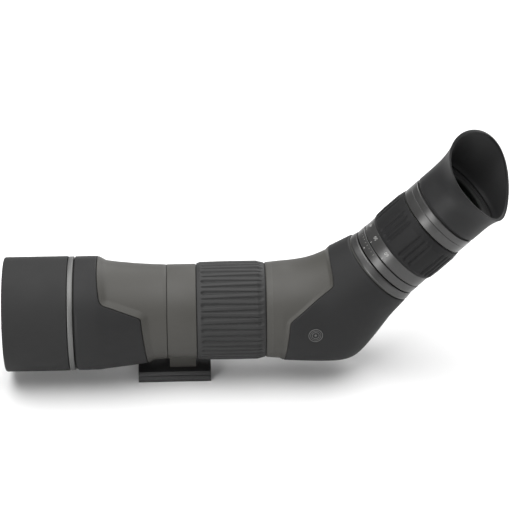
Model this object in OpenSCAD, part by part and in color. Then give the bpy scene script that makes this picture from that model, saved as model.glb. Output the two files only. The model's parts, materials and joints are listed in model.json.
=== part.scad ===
// Angled spotting scope with a sliding hood, a focus ring, a zoom ring, a twist-up
// eyecup and a tripod collar with a dovetail foot.
// +Z is up, +X runs from the objective to the eyepiece, and the origin is on the
// underside of the foot, on the axis of the tripod thread.

/* [Barrel] */
// Height of the barrel axis above the underside of the foot
axis_h = 45; // [43:0.5:50]
// X of the front edge of the retracted hood
hood_front = -114.2; // [-116:0.2:-112.6]
// X of the rear edge of the retracted hood
hood_back = -71.3; // [-72:0.1:-71.2]
// Outer radius of the hood
hood_r = 38.8; // [38.6:0.1:40]
// Outer radius of the housing tube under the hood
tube_r = 35.6; // [35.4:0.1:35.7]
// Travel of the hood
hood_travel = 25; // [15:1:25]

/* [Tripod collar] */
// X of the front edge of the collar
collar_front = -4.8; // [-4.9:0.1:-4.7]
// X of the rear edge of the collar
collar_back = 14.7; // [14:0.1:14.8]
// Outer radius of the collar
collar_r = 32; // [31.6:0.1:33]
// Outer radius of the tube that turns inside the collar
journal_r = 28.4; // [28:0.1:28.4]

/* [Foot] */
// Length of the foot plate along the barrel
foot_len = 49.4; // [48:0.2:60]
// Width of the foot plate across its dovetail edges
foot_w = 38; // [38:0.1:38.2]
// Thickness of the foot plate
foot_t = 7.2; // [7:0.1:8]

/* [Focus ring] */
// X of the front edge of the focus ring
focus_front = 15.1; // [15.1:0.1:15.4]
// X of the rear edge of the focus ring
focus_back = 60.9; // [60:0.1:61]
// Radius over the focus grip
focus_r = 33.4; // [33:0.1:34]
// Travel of the focusing lens each way
focus_travel = 5; // [3:0.5:5]

/* [Rear housing] */
// X where the housing shell begins
shell_front = 65.6; // [65.6:0.1:66]
// Wall of the housing shell
shell_wall = 1.6; // [1.4:0.1:1.6]
// Height of the rear armour above the shell
armour_rise = 1.3; // [1:0.1:1.6]

/* [Eyepiece] */
// X where the eyepiece axis meets the barrel axis
elbow_x = 106.1; // [106:0.1:107]
// Angle between the two axes
eye_angle = 45; // [45:1:45]
// Outer radius of the fixed eyepiece barrel
eye_r = 24; // [23.5:0.1:24]
// Outer radius of the metal rings
ring_r = 26.7; // [26.5:0.1:27]
// Radius over the zoom grip
grip_r = 28.2; // [27.8:0.1:28.6]
// Travel of the twist-up eyecup
eyecup_travel = 8; // [4:0.5:8]

/* [Hidden] */
round_fn = 96;
small_fn = 32;
run_gap = 0.06;       // radial clearance of a running fit
seat_gap = 0.1;       // gap between pieces of one body
barrel_grey = "#6b6a64";
rubber_black = "#2b2b2d";
metal_black = "#3a3a3c";
ring_silver = "#9a9a98";
glass_blue = "#9fc4d8";

// ---- placing and turning ----

// Local Z along the barrel axis, so that a turned profile is [radius, x].
module along_barrel(x = 0) {
    translate([x, 0, axis_h])
        rotate([0, 90, 0])
            children();
}

// Local Z along the eyepiece axis from the elbow; local X points down and back.
module along_eyepiece(t = 0) {
    translate([elbow_x, 0, axis_h])
        rotate([0, eye_angle, 0])
            translate([0, 0, t])
                children();
}

module turned(profile) {
    rotate_extrude($fn = round_fn)
        polygon(profile);
}

module tube(r_out, r_in, from, to) {
    turned([[r_in, from], [r_out, from], [r_out, to], [r_in, to]]);
}

// A tube whose outer edges are broken by a chamfer.
module edged_tube(r_out, r_in, from, to, edge) {
    turned([[r_in, from], [r_out - edge, from], [r_out, from + edge],
        [r_out, to - edge], [r_out - edge, to], [r_in, to]]);
}

// A lens: positive bulges are convex, negative ones are hollow.
module lens(r, from, thick, front_bulge, back_bulge) {
    steps = 8;
    front = [for (i = [0 : steps]) [r * i / steps, from + front_bulge * pow(i / steps, 2)]];
    back = [for (i = [steps : -1 : 0])
        [r * i / steps, from + thick - back_bulge * pow(i / steps, 2)]];
    turned(concat(front, back));
}

// A socket-head screw with its head down at z = 0 and its shank upwards.
module cap_screw(shank_r, length, head_r, head_h) {
    difference() {
        union() {
            cylinder(r = head_r, h = head_h, $fn = small_fn);
            cylinder(r = shank_r, h = length, $fn = small_fn);
        }
        translate([0, 0, -1])
            cylinder(r = head_r * 0.5, h = 1 + head_h * 0.6, $fn = 6);
    }
}

// ---- tripod collar and foot ----

collar_mid = (collar_front + collar_back) / 2;
liner_r = journal_r + 0.8;
foot_mid = -0.7;      // the plate reaches a little further forward
neck_len = 17.8;
neck_w = 23;
neck_screw_y = 8.2;
neck_screw_r = 2;
stop_screw_x = 20;
insert_r = 4.8;
insert_h = 6;
thread_r = 3.175;
anti_twist_x = 12.7;
lock_tilt = 25;       // the lock knob points away and down
boss_end = 36;
stud_r = 3;

// Local Z along the axis of the lock knob, from the barrel axis.
module along_lock() {
    translate([collar_mid, 0, axis_h])
        rotate([-90 - lock_tilt, 0, 0])
            children();
}

module tripod_collar() {
    color(barrel_grey)
        difference() {
            union() {
                along_barrel()
                    edged_tube(collar_r, liner_r, collar_front, collar_back, 0.3);
                translate([collar_mid - neck_len / 2, -neck_w / 2, foot_t])
                    cube([neck_len, neck_w, axis_h - liner_r - foot_t + 4]);
                along_lock()
                    translate([0, 0, liner_r + 0.5])
                        cylinder(r = 8, h = boss_end - liner_r - 0.5, $fn = 48);
            }
            along_barrel()
                cylinder(r = liner_r + seat_gap, h = 200, center = true, $fn = round_fn);
            along_lock()
                cylinder(r = stud_r + 0.05, h = 60, $fn = small_fn);
            for (y = [-neck_screw_y, neck_screw_y])
                translate([collar_mid, y, foot_t - 1])
                    cylinder(r = neck_screw_r + 0.05, h = 8, $fn = small_fn);
        }
}

module collar_liner() {
    split_w = 2;
    color("#c9b98a")
        difference() {
            along_barrel()
                tube(liner_r, journal_r + run_gap, collar_front + 0.4, collar_back - 0.4);
            translate([collar_front - 1, -split_w / 2, axis_h + 20])
                cube([collar_back - collar_front + 2, split_w, 20]);
        }
}

module tripod_foot() {
    half = foot_w / 2;
    groove = 1.2;
    color(metal_black)
        difference() {
            translate([foot_mid + foot_len / 2, 0, 0])
                rotate([0, -90, 0])
                    linear_extrude(foot_len)
                        polygon([[0, -half], [0, half], [3.2, half], [4.4, half - groove],
                            [5.4, half], [foot_t, half - 1.8], [foot_t, 1.8 - half],
                            [5.4, -half], [4.4, groove - half], [3.2, -half]]);
            translate([0, 0, -1])
                cylinder(r = insert_r + 0.05, h = insert_h + 1.2, $fn = 48);
            translate([-anti_twist_x, 0, -1])
                cylinder(r = 2.5, h = 6, $fn = small_fn);
            for (y = [-neck_screw_y, neck_screw_y])
                translate([collar_mid, y, -1]) {
                    cylinder(r = neck_screw_r + 0.05, h = foot_t + 2, $fn = small_fn);
                    cylinder(r = 3.6, h = 4.2, $fn = small_fn);
                }
            for (x = [-stop_screw_x, stop_screw_x])
                translate([x, 0, -1])
                    cylinder(r = 2.6, h = 5, $fn = small_fn);
        }
}

module foot_screws() {
    color(ring_silver)
        for (y = [-neck_screw_y, neck_screw_y])
            translate([collar_mid, y, 0.3])
                cap_screw(neck_screw_r, 11.5, 3.5, 2.9);
}

module stop_screws() {
    color(ring_silver)
        for (x = [-stop_screw_x, stop_screw_x])
            translate([x, 0, 0.5])
                cap_screw(1.2, 3.4, 2.5, 3.4);
}

module thread_insert() {
    color(ring_silver)
        difference() {
            cylinder(r = insert_r, h = insert_h, $fn = 48);
            translate([0, 0, -1])
                cylinder(r = thread_r, h = insert_h - 0.2, $fn = 48);
        }
}

module lock_stud() {
    color(ring_silver)
        along_lock()
            translate([0, 0, liner_r + 0.4])
                cylinder(r = stud_r, h = 14, $fn = small_fn);
}

module lock_knob() {
    flutes = 12;
    knob_r = 9.2;
    knob_h = 10;
    color(metal_black)
        along_lock()
            translate([0, 0, boss_end + 0.4])
                difference() {
                    turned([[0, 0], [knob_r - 1, 0], [knob_r, 1], [knob_r, knob_h - 1.5],
                        [knob_r - 1.5, knob_h], [0, knob_h]]);
                    for (i = [0 : flutes - 1])
                        rotate([0, 0, i * 360 / flutes])
                            translate([knob_r + 0.9, 0, -1])
                                cylinder(r = 1.7, h = knob_h + 2, $fn = 24);
                    translate([0, 0, -1])
                        cylinder(r = stud_r + 0.02, h = 1 + liner_r + 14 - boss_end, $fn = small_fn);
                }
}

// ---- front housing, objective and hood ----

housing_back = -5.2;
bore_r = 33.2;
armour_from = -66.7;
armour_gap = 0.1;
trim_from = -70.8;
trim_to = -67.4;

// The shoulder of the housing, as [radius, x] from the armour to the collar seam.
shoulder = [[36.4, -67], [36.4, -55], [36.9, -53], [36.7, -48.8], [35.5, -44.3],
    [34.9, -39.8], [34, -31.8], [33.2, -23.8], [32.5, -15.7], [32.1, -8]];

module front_housing() {
    tube_front = -110;
    color(barrel_grey)
        along_barrel()
            turned(concat(
                [[bore_r, tube_front], [tube_r - 0.4, tube_front], [tube_r, tube_front + 0.4],
                    [tube_r, -67.3]],
                [for (p = shoulder) p],
                [[collar_r, housing_back], [journal_r + 0.05, housing_back],
                    [journal_r + 0.05, -16], [29.6, -16.5], [30, -30], [bore_r, -60]]));
}

// The armour follows the shoulder and ends on a stepped outline seen from the side.
module front_armour() {
    covered = [for (p = shoulder) [p[0] + armour_gap, max(p[1], armour_from)]];
    outer = [[34.3, -8], [34.9, -16.1], [35.6, -23.8], [36.5, -31.8], [37.3, -39.9],
        [37.7, -43.9], [38.4, -51.2], [38.7, -56], [38.7, armour_from + 0.5], [38.2, armour_from]];
    color(rubber_black)
        intersection() {
            along_barrel()
                turned(concat(covered, outer));
            translate([0, hood_r + 10, axis_h])
                rotate([90, 0, 0])
                    linear_extrude(2 * hood_r + 20)
                        polygon([[-80, 60], [-51.8, 60], [-51.5, 36], [-50.7, 32], [-50, 28.8],
                            [-49, 25.8], [-47.3, 23.8], [-45, 22.5], [-25.2, 15.2],
                            [-23, 14.1], [-22.2, 12], [-20, -10], [-14.8, -60], [-80, -60]]);
        }
}

module trim_ring() {
    color(ring_silver)
        along_barrel()
            edged_tube(hood_r - 0.2, tube_r + 0.05, trim_from, trim_to, 0.3);
}

guide_len = 9.8;
guide_back = hood_back - 1.8;

// The stop ring meets the guide ring where the hood's travel ends.
module hood_stop_ring() {
    stop_to = guide_back - guide_len - hood_travel - 0.6;
    color(metal_black)
        along_barrel()
            tube(tube_r + 0.7, tube_r + 0.02, stop_to - 0.9, stop_to);
}

cell_front = -106;
cell_back = -87.2;
lens_r = 32.5;

module objective_cell() {
    color(metal_black)
        along_barrel()
            turned([[lens_r + 0.05, cell_front], [bore_r - 0.05, cell_front],
                [bore_r - 0.05, cell_back], [31.2, cell_back], [31.2, cell_back - 2],
                [lens_r + 0.05, cell_back - 2]]);
}

module crown_lens() {
    color(glass_blue)
        along_barrel()
            lens(lens_r, -103.5, 11, 3, 3.4);
}

module flint_lens() {
    color(glass_blue)
        along_barrel()
            lens(lens_r, -92, 3.5, -3.4, 0.8);
}

module lens_spacer() {
    color(metal_black)
        along_barrel()
            tube(lens_r - 0.1, lens_r - 1, -95.64, -95.44);
}

module retaining_ring() {
    color(metal_black)
        along_barrel()
            tube(lens_r, 31.4, -105, -100.75);
}

module objective_seal() {
    color(rubber_black)
        along_barrel()
            tube(bore_r - 0.05, lens_r - 0.4, cell_back + 0.2, cell_back + 1.6);
}

module front_baffle() {
    color(metal_black)
        along_barrel()
            turned([[27, -61.8], [27.6, -62.8], [bore_r - 0.05, -62.8], [bore_r - 0.05, -61],
                [27.6, -61]]);
}

hood_inner_r = tube_r + 1;
lip_r = 34.5;

module lens_hood() {
    color(metal_black)
        along_barrel()
            turned([[lip_r, hood_front], [hood_r - 0.5, hood_front], [hood_r, hood_front + 1],
                [hood_r, hood_back - 0.4], [hood_r - 0.4, hood_back], [hood_inner_r, hood_back],
                [hood_inner_r, hood_front + 3], [lip_r, hood_front + 2.6]]);
}

module hood_guide_ring() {
    color(rubber_black)
        along_barrel()
            tube(hood_inner_r - 0.02, tube_r + run_gap, guide_back - guide_len, guide_back);
}

// ---- journal tube and focusing ----

pin_x = 38;
journal_inner_r = 25.5;
groove_r = 30;        // bottom of the track inside the focus ring

module journal_tube() {
    slot_half = focus_travel + 2.6;
    slot_w = 4.8;
    color(metal_black)
        difference() {
            along_barrel()
                tube(journal_r, journal_inner_r, -15.9, 66);
            translate([pin_x - slot_half, -slot_w / 2, axis_h + 20])
                cube([2 * slot_half, slot_w, 20]);
        }
}

module focus_ring_core() {
    run_r = journal_r + run_gap;
    core_r = focus_r - 2.4;
    color(metal_black)
        along_barrel()
            turned([[run_r, focus_front], [core_r, focus_front], [core_r, focus_back - 4],
                [core_r - 0.6, focus_back], [run_r, focus_back], [run_r, 52], [groove_r, 51],
                [groove_r, 25], [run_r, 24]]);
}

module focus_grip() {
    inner = focus_r - 2.3;
    color(rubber_black)
        along_barrel()
            turned([[inner, focus_front + 0.1], [focus_r - 0.9, focus_front + 0.1],
                [focus_r - 0.3, focus_front + 1], [focus_r, focus_front + 18],
                [focus_r, focus_back - 5], [focus_r - 1.3, focus_back - 0.1],
                [inner, focus_back - 0.1]]);
}

module focus_cell() {
    color(metal_black)
        difference() {
            along_barrel()
                turned([[19, pin_x - 7], [journal_inner_r - run_gap, pin_x - 7],
                    [journal_inner_r - run_gap, pin_x + 7], [20.1, pin_x + 7],
                    [20.1, pin_x - 5], [19, pin_x - 5]]);
            translate([pin_x, 0, axis_h])
                cylinder(r = 2.02, h = 40, $fn = small_fn);
        }
}

module focus_lens() {
    color(glass_blue)
        along_barrel()
            lens(20, pin_x - 2, 2.6, -2, -1.4);
}

module focus_pin() {
    color(ring_silver)
        translate([pin_x, 0, axis_h + 21])
            cylinder(r = 2, h = groove_r - 21 - 0.4, $fn = small_fn);
}

// ---- rear housing ----

// The sections turn about a pivot above the barrel, from upright to the slope of the
// eyepiece, then run straight along the eyepiece axis.
pivot_x = 72;
pivot_h = 75;
start_r = 32.6;
bend_r = 33.2;
slope_top_r = 32;
slope_low_r = 28.4;
slope_side_r = 29.4;
end_top_r = 27.6;
end_low_r = 26.7;
end_side_r = 27.1;
shell_end = 45;       // along the eyepiece axis
bend_exit = (pivot_x - elbow_x + pivot_h) * sin(45);
pivot_to_eye = (elbow_x - pivot_x + pivot_h) * sin(45);
blend_power = 30;

// Distance from the pivot to the inside of the bend.
function bend_in(a) = pivot_h - bend_r
    + (pivot_to_eye - slope_top_r - pivot_h + bend_r) * pow(a / eye_angle, 2);

// Distance from the pivot to the flat underside and to the slope behind the heel.
function floor_reach(a) = (pivot_h + bend_r + 2.2 * a / 24) / cos(a);
function slope_reach(a) = (pivot_to_eye + slope_low_r)
    / (cos(eye_angle - a) - 0.2 * sin(eye_angle - a));
function bend_out(a) = pow(pow(floor_reach(a), -blend_power)
    + pow(slope_reach(a), -blend_power), -1 / blend_power);

// A section is [x, height above the barrel axis, tilt, half height, half width, power].
function straight_section(s) = [
    shell_front + (pivot_x - shell_front) * s, 0, 0,
    start_r + (bend_r - start_r) * s, start_r + (bend_r - start_r) * s, 2];
function bend_section(a) = let (mid = (bend_in(a) + bend_out(a)) / 2,
        high = (bend_out(a) - bend_in(a)) / 2,
        wide = bend_r + (slope_side_r - bend_r) * pow(a / eye_angle, 2))
    [pivot_x + mid * sin(a), pivot_h - mid * cos(a), a, high, wide, 2 + 0.12 * sin(4 * a)];
function slope_section(s) = let (t = bend_exit + (shell_end - bend_exit) * s,
        top = slope_top_r + (end_top_r - slope_top_r) * s,
        low = slope_low_r + (end_low_r - slope_low_r) * s,
        off = (top - low) / 2)
    [elbow_x + (t - off) * sin(eye_angle), (t + off) * cos(eye_angle), eye_angle,
        (top + low) / 2, slope_side_r + (end_side_r - slope_side_r) * s, 2];

// Station 0 to 1 is straight, 1 to 2 is the bend and 2 to 3 is the slope.
function section(s) = s < 1 ? straight_section(s)
    : s < 2 ? bend_section(eye_angle * (s - 1)) : slope_section(s - 2);

// A point of the skin at a station and an angle from the top, raised off the shell.
function skin(s, angle, rise) = let (c = section(s),
        up = (c[3] + rise) * sign(cos(angle)) * pow(abs(cos(angle)), 2 / c[5]),
        side = (c[4] + rise) * sign(sin(angle)) * pow(abs(sin(angle)), 2 / c[5]))
    [c[0] - up * sin(c[2]), side, axis_h + c[1] + up * cos(c[2])];

// A closed shell from a grid of outer rings and a grid of inner rings.
module shell(outer, inner) {
    rings = len(outer);
    n = len(outer[0]);
    points = concat([for (ring = outer) each ring], [for (ring = inner) each ring]);
    base = rings * n;
    walls = [for (i = [0 : rings - 2], j = [0 : n - 1])
        let (a = i * n + j, b = i * n + (j + 1) % n, c = b + n, d = a + n)
        each [[a, b, c], [a, c, d], [base + a, base + c, base + b], [base + a, base + d, base + c]]];
    last = (rings - 1) * n;
    ends = [for (j = [0 : n - 1])
        let (k = (j + 1) % n)
        each [[j, base + j, base + k], [j, base + k, k],
            [last + j, last + k, base + last + k], [last + j, base + last + k, base + last + j]]];
    polyhedron(points, concat(walls, ends), convexity = 10);
}

around = 72;
function turn_angle(j) = 360 * j / around;

module housing_flange() {
    color(barrel_grey)
        along_barrel()
            turned([[journal_r + 0.05, 61.5], [31.9, 61.5], [32.3, 61.9], [start_r, 65.5],
                [start_r - shell_wall - 0.3, 65.5], [start_r - shell_wall - 0.3, 71],
                [journal_r + 0.4, 71], [journal_r + 0.05, 66]]);
}

module rear_housing() {
    stations = [0, 0.5, for (i = [0 : 20]) 1 + i / 10];
    color(barrel_grey)
        shell([for (s = stations) [for (j = [0 : around - 1]) skin(s, turn_angle(j), 0)]],
            [for (s = stations) [for (j = [0 : around - 1]) skin(s, turn_angle(j), -shell_wall)]]);
}

// The front edge of the rear armour seen from the side, as [height, x].
armour_edge = [[-60, 67.5], [-19, 73.6], [-1, 76.2], [8, 77.2], [10, 78.5],
    [30.4, 105.1], [32, 106], [36, 105.9], [45, 104], [60, 102]];

// How far the skin at a station lies behind the armour's edge.
function behind_edge(s, angle) = let (p = skin(s, angle, 0))
    p[0] - lookup(p[2] - axis_h, armour_edge);
// The station where the skin crosses the edge, by halving.
function edge_station(angle, low = 0, high = 3, left = 14) = left == 0 ? high
    : let (mid = (low + high) / 2)
    behind_edge(mid, angle) > 0 ? edge_station(angle, low, mid, left - 1)
    : edge_station(angle, mid, high, left - 1);

// Rings run from the edge to a shared station, then keep step with the shell's stations.
module rear_armour() {
    edge_steps = 3;
    steps = 20;
    start = [for (j = [0 : around - 1]) edge_station(turn_angle(j))];
    function shared(j) = max(1.3, start[j] + 0.15);
    function at(i, j) = i < edge_steps
        ? start[j] + (shared(j) - start[j]) * i / edge_steps
        : min(2.97, shared(j) + (3 - shared(j)) * (i - edge_steps) / (steps - edge_steps));
    color(rubber_black)
        shell([for (i = [0 : steps]) [for (j = [0 : around - 1])
                skin(at(i, j), turn_angle(j), i == 0 || i == steps ? armour_rise * 0.6 : armour_rise)]],
            [for (i = [0 : steps]) [for (j = [0 : around - 1])
                skin(at(i, j), turn_angle(j), 0.45)]]);
}

badge_x = 93.9;

// A blank disc that lies against the armour's near side.
module badge() {
    side = 34.07;
    color(ring_silver)
        translate([badge_x, -side, axis_h - 0.1])
            rotate([87.5, 0, 2.4])
                turned([[0, 0], [5.2, 0], [5.2, 0.5], [4.9, 0.8], [0, 0.8]]);
}

// ---- prisms ----

prism_half = 15;
clip_screw_y = prism_half + 2.3;

// Extrude a side outline of [x, height above the axis] to both sides of the middle.
module side_block(outline, half) {
    translate([0, half, axis_h])
        rotate([90, 0, 0])
            linear_extrude(2 * half)
                polygon(outline);
}

module prism_carrier() {
    color(metal_black)
        difference() {
            union() {
                along_barrel()
                    tube(29.4, 21, 72, 75);
                side_block([[74, -20.4], [113, -20.4], [113, -8], [100, 4], [74, 4]], prism_half + 4);
            }
            side_block([[75, -17.4], [120, -17.4], [120, 30], [75, 30]], prism_half + 0.2);
            along_barrel(60)
                cylinder(r = 18.5, h = 16, $fn = round_fn);
            for (y = [-clip_screw_y, clip_screw_y])
                translate([90, y, axis_h - 3])
                    cylinder(r = 0.85, h = 10, $fn = 24);
        }
}

module entry_prism() {
    color(glass_blue)
        side_block([[79, -17], [79, 17], [83, 17], [103, -17]], prism_half);
}

module roof_prism() {
    color(glass_blue)
        side_block([[83.4, 17], [95, 22.5], [104, 22.5], [126, 0.5], [113, -17], [103.4, -17]], prism_half);
}

module prism_clip() {
    color(ring_silver)
        difference() {
            union() {
                translate([86, -prism_half - 0.9, axis_h + 23])
                    cube([8, 2 * prism_half + 1.8, 0.8]);
                for (side = [-1, 1])
                    translate([86, side * (prism_half + 0.5) - 0.4, axis_h + 4])
                        cube([8, 0.8, 19.4]);
                for (side = [-1, 1])
                    translate([86, side > 0 ? prism_half + 0.1 : -prism_half - 3.6, axis_h + 4.05])
                        cube([8, 3.5, 0.8]);
            }
            for (y = [-clip_screw_y, clip_screw_y])
                translate([90, y, axis_h])
                    cylinder(r = 0.85, h = 10, $fn = 24);
        }
}

module clip_screws() {
    color(ring_silver)
        for (y = [-clip_screw_y, clip_screw_y])
            translate([90, y, axis_h + 6.1])
                rotate([180, 0, 0])
                    cap_screw(0.8, 7, 1.1, 1.2);
}

// ---- eyepiece ----

zoom_front = 57.9;
grip_front = 66.7;
zoom_back = 93.3;
zoom_pin_r = 1.5;
front_group = 66;
rear_group = 83;
zoom_travel = 4;
barrel_to = 122.3;

module eyepiece_base() {
    color(metal_black)
        along_eyepiece()
            turned([[eye_r + 0.05, 38], [24.9, 38], [24.9, 45.2], [27.8, 45.2], [27.8, 46.2],
                [27.1, 50], [26.7, 50.5], [eye_r + 0.05, 50.5]]);
}

module scale_ring() {
    color(metal_black)
        along_eyepiece()
            edged_tube(ring_r + 0.2, eye_r + 0.05, 51.4, 57.5, 0.4);
}

module eyepiece_barrel() {
    inner = eye_r - 2.5;
    slot_half = zoom_travel + zoom_pin_r + 0.5;
    slot_w = 2 * zoom_pin_r + 0.8;
    color(metal_black)
        difference() {
            along_eyepiece()
                tube(eye_r, inner, 30, barrel_to);
            along_eyepiece(front_group)
                translate([15, -slot_w / 2, -slot_half])
                    cube([15, slot_w, 2 * slot_half]);
            along_eyepiece(rear_group)
                translate([-30, -slot_w / 2, -slot_half])
                    cube([15, slot_w, 2 * slot_half]);
        }
}

module field_stop() {
    color(metal_black)
        along_eyepiece()
            turned([[9, 50.5], [10, 49.5], [eye_r - 2.55, 49.5], [eye_r - 2.55, 51.5], [10, 51.5]]);
}

module zoom_ring_core() {
    run_r = eye_r + run_gap;
    color(metal_black)
        along_eyepiece()
            turned([[run_r, zoom_front], [ring_r - 0.4, zoom_front], [ring_r, zoom_front + 0.4],
                [ring_r, grip_front - 0.1], [ring_r - 0.8, grip_front - 0.1],
                [ring_r - 0.8, zoom_back], [run_r, zoom_back], [run_r, zoom_back - 3],
                [eye_r + 1, zoom_back - 3.5], [eye_r + 1, zoom_front + 2], [run_r, zoom_front + 1.5]]);
}

module zoom_grip() {
    flutes = 16;
    color(rubber_black)
        along_eyepiece()
            difference() {
                turned([[ring_r - 0.75, grip_front], [grip_r - 0.9, grip_front],
                    [grip_r, grip_front + 1.2], [grip_r, zoom_back - 1.4],
                    [grip_r - 0.9, zoom_back - 0.1], [ring_r - 0.75, zoom_back - 0.1]]);
                for (i = [0 : flutes - 1])
                    rotate([0, 0, (i + 0.5) * 360 / flutes])
                        translate([grip_r + 0.9, 0, grip_front + 3])
                            cylinder(r = 1.6, h = zoom_back - grip_front - 6, $fn = 24);
            }
}

// Short bars let into the zoom ring, one for each setting.
module zoom_marks() {
    marks = 5;
    color("white")
        along_eyepiece()
            for (i = [0 : marks - 1])
                rotate([0, 0, 117.5 + 30 * i])
                    translate([ring_r + 0.01, -0.35, zoom_front + 1.2])
                        cube([0.12, 0.7, 3]);
}

// A sliding cell with a pin that reaches out through the barrel's slot.
module zoom_cell(side) {
    color(metal_black) {
        difference() {
            tube(eye_r - 2.5 - run_gap, 15.1, -3.5, 3.5);
            rotate([0, side * 90, 0])
                cylinder(r = zoom_pin_r - 0.1, h = 40, $fn = small_fn);
        }
        rotate([0, side * 90, 0])
            translate([0, 0, 16])
                cylinder(r = zoom_pin_r, h = eye_r + 0.6 - 16, $fn = small_fn);
    }
}

module front_zoom_cell() {
    along_eyepiece(front_group)
        zoom_cell(1);
}

module rear_zoom_cell() {
    along_eyepiece(rear_group)
        zoom_cell(-1);
}

module front_zoom_lens() {
    color(glass_blue)
        along_eyepiece(front_group)
            lens(15, -1.5, 3, -1, -1);
}

module rear_zoom_lens() {
    color(glass_blue)
        along_eyepiece(rear_group)
            lens(15, -3.2, 6.4, 1.6, 1.6);
}

module inner_eye_lens() {
    color(glass_blue)
        along_eyepiece()
            lens(eye_r - 2.6, 91.5, 6.5, 2, 1.5);
}

module eye_lens_spacer() {
    color(metal_black)
        along_eyepiece()
            tube(eye_r - 2.55, eye_r - 4, 96.75, barrel_to - 7.7);
}

module outer_eye_lens() {
    color(glass_blue)
        along_eyepiece()
            lens(eye_r - 2.6, barrel_to - 9.1, 9, 1.7, 2.9);
}

module eyepiece_bezel() {
    color(metal_black)
        along_eyepiece(barrel_to)
            turned([[16.5, -0.1], [17, 0.2], [eye_r - 0.1, 0.2], [eye_r - 0.1, 2.1],
                [eye_r - 0.5, 2.5], [19, 2.3], [16.5, 1]]);
}

sleeve_r = eye_r + 1.1;
ring_to = 105.3;
sleeve_from = ring_to - eyecup_travel - 0.2;
cup_from = 107;
sleeve_to = barrel_to + 1.3;

module top_ring() {
    color(metal_black)
        along_eyepiece()
            turned([[eye_r + 0.03, 94.1], [ring_r - 0.4, 94.1], [ring_r, 94.5], [ring_r, 100.2],
                [ring_r - 0.4, 100.6], [ring_r, 101], [ring_r, ring_to - 0.4],
                [ring_r - 0.4, ring_to], [sleeve_r + 0.35, ring_to], [sleeve_r + 0.35, 96.5],
                [eye_r + 0.03, 96.5]]);
}

module eyecup_sleeve() {
    color(metal_black)
        along_eyepiece()
            turned([[eye_r + run_gap, sleeve_from], [sleeve_r, sleeve_from], [sleeve_r, sleeve_to],
                [sleeve_r + 0.6, sleeve_to], [sleeve_r + 0.6, sleeve_to + 1],
                [eye_r + run_gap, sleeve_to + 1]]);
}

module eyecup_insert() {
    color(metal_black)
        along_eyepiece()
            tube(sleeve_r + 0.65, sleeve_r + run_gap, cup_from, sleeve_to - 0.3);
}

// The rubber cup: a plain collar that flares to a rim with a long wing on one side.
rim_low = 130.6;
wing_rise = 26.4;
wing_side = 99;
cup_r = 26.7;

function wing(angle) = pow((1 + cos(angle - wing_side)) / 2, 1.75);
function rim_height(angle) = rim_low + wing_rise * wing(angle);
function rim_radius(angle) = 30.3 + 2.6 * cos(angle - wing_side - 115);
// Radius and height of the cup at a share of the way up and an angle about the axis.
function cup_radius(share, angle) = cup_r + (rim_radius(angle) - cup_r) * pow(share, 2.2);
function cup_height(share, angle) = cup_from + 10 + (rim_height(angle) - cup_from - 10) * share;
function cup_point(radius, height, angle) = [radius * cos(angle), radius * sin(angle), height];

module eyecup_rubber() {
    steps = 10;
    wall = 1.7;
    inner_r = sleeve_r + 0.7;
    ledge_from = sleeve_to + 1.4;
    crease = ledge_from + 3.9;
    angles = [for (j = [0 : around - 1]) turn_angle(j)];
    outer = concat([[for (a = angles) cup_point(cup_r - 0.3, cup_from, a)],
            [for (a = angles) cup_point(cup_r, cup_from + 0.4, a)]],
        [for (i = [0 : steps]) [for (a = angles)
            cup_point(cup_radius(i / steps, a), cup_height(i / steps, a), a)]]);
    inner = concat([[for (a = angles) cup_point(inner_r, cup_from, a)],
            [for (a = angles) cup_point(inner_r, ledge_from, a)],
            [for (a = angles) cup_point(eye_r + 0.7, ledge_from, a)]],
        [for (i = [0 : steps - 1]) [for (a = angles)
            let (low = (crease - cup_from - 10) / (rim_height(a) - cup_from - 10),
                share = low + (1 - low) * min(1, i / (steps - 2)))
            cup_point(cup_radius(share, a) - (i == steps - 1 ? wall * 0.4 : wall),
                cup_height(share, a) - (i == steps - 1 ? 0 : 0.5), a)]]);
    color(rubber_black)
        along_eyepiece()
            shell(outer, inner);
}

// ---- drawing ----

tripod_collar();
collar_liner();
tripod_foot();
foot_screws();
stop_screws();
thread_insert();
lock_stud();
lock_knob();
front_housing();
front_armour();
trim_ring();
hood_stop_ring();
objective_cell();
crown_lens();
flint_lens();
lens_spacer();
retaining_ring();
objective_seal();
front_baffle();
lens_hood();
hood_guide_ring();
journal_tube();
focus_ring_core();
focus_grip();
focus_cell();
focus_lens();
focus_pin();
housing_flange();
rear_housing();
rear_armour();
badge();
prism_carrier();
entry_prism();
roof_prism();
prism_clip();
clip_screws();
eyepiece_base();
scale_ring();
eyepiece_barrel();
field_stop();
zoom_ring_core();
zoom_grip();
zoom_marks();
front_zoom_cell();
front_zoom_lens();
rear_zoom_cell();
rear_zoom_lens();
inner_eye_lens();
eye_lens_spacer();
outer_eye_lens();
eyepiece_bezel();
top_ring();
eyecup_sleeve();
eyecup_insert();
eyecup_rubber();
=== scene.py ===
"""The looks of an angled spotting scope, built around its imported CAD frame.

Shapes are worked out in millimetres along the scope's two axes and scaled to metres when a
mesh is made. Places come from the CAD nodes and joints.
"""

import json
import math

import bmesh
import bpy
import numpy as np
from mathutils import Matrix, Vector
from mathutils.kdtree import KDTree


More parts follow.
